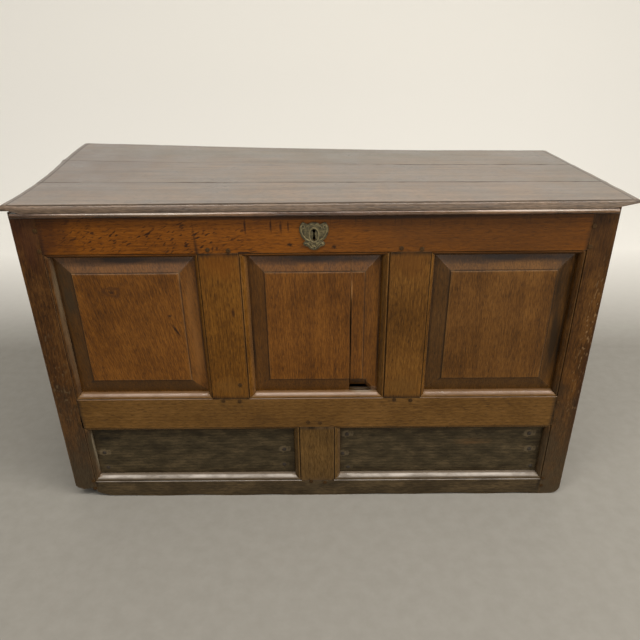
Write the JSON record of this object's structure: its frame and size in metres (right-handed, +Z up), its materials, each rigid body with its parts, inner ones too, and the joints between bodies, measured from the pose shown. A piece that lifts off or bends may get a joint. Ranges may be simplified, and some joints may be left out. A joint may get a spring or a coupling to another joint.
{
  "type": "wooden coffer",
  "caption": "Joined oak coffer with a moulded, panelled front, a hinged plank lid that lifts, strap hinges, and a chest lock behind a cast brass keyhole plate.",
  "frame": {"origin": "on the floor, under the middle of the lid's plan outline", "axes": "+X to the right along the front, +Y from the front to the back, +Z up; the front faces -Y"},
  "size_m": [1.256, 0.548, 0.7618],
  "materials": {
    "oak_frame": "waxed, worn old oak",
    "oak_panel": "waxed old oak",
    "oak_dark": "dull, dark stained boards",
    "oak_lid": "satin, greyed oak",
    "oak_plain": "dry, unwaxed oak",
    "iron": "forged, rusted iron",
    "brass": "tarnished cast brass"
  },
  "bodies": {
    "carcase": {"back_bottom_rail": "oak_plain", "back_left_panel": "oak_plain", "back_muntin": "oak_plain", "back_right_panel": "oak_plain", "back_top_rail": "oak_plain", "centre_board_cleat": "oak_plain", "escutcheon": "brass", "floor_board_1": "oak_plain", "floor_board_2": "oak_plain", "floor_board_3": "oak_plain", "floor_board_4": "oak_plain", "front_bead": "oak_frame", "front_bottom_rail": "oak_frame", "front_centre_panel": "oak_panel", "front_centre_panel_strip": "oak_panel", "front_floor_bearer": "oak_plain", "front_left_muntin": "oak_frame", "front_left_panel": "oak_panel", "front_left_stile": "oak_frame", "front_low_left_board": "oak_dark", "front_low_right_board": "oak_dark", "front_lower_muntin": "oak_frame", "front_middle_rail": "oak_frame", "front_right_muntin": "oak_frame", "front_right_panel": "oak_panel", "front_right_stile": "oak_frame", "front_top_rail": "oak_frame", "left_board_cleat": "oak_plain", "left_hinge_leaf": "iron", "left_hinge_pin": "iron", "left_side_bottom_rail": "oak_frame", "left_side_low_panel": "oak_panel", "left_side_middle_rail": "oak_frame", "left_side_top_rail": "oak_frame", "left_side_upper_panel": "oak_panel", "lock_case": "iron", "rear_floor_bearer": "oak_plain", "rear_left_stile": "oak_frame", "rear_right_stile": "oak_frame", "right_board_cleat": "oak_plain", "right_hinge_leaf": "iron", "right_hinge_pin": "iron", "right_side_bottom_rail": "oak_frame", "right_side_low_panel": "oak_panel", "right_side_middle_rail": "oak_frame", "right_side_top_rail": "oak_frame", "right_side_upper_panel": "oak_panel"},
    "lid": {"left_hinge_strap": "iron", "lid_catch": "iron", "lid_front_plank": "oak_lid", "lid_left_batten": "oak_plain", "lid_middle_plank": "oak_lid", "lid_rear_plank": "oak_lid", "lid_right_batten": "oak_plain", "right_hinge_strap": "iron"},
    "bolt": {"lock_bolt": "iron"}
  },
  "joints": [
    {"name": "lid_hinge", "type": "hinge", "parent": "carcase", "child": "lid", "pos_m": [-0.011, 0.2146, 0.7385], "axis": [-1, 0, 0], "range_deg": [0, 98]},
    {"name": "bolt_throw", "type": "slide", "parent": "carcase", "child": "bolt", "axis": [-1, 0, 0], "range_m": [0, 0.02]}
  ]
}
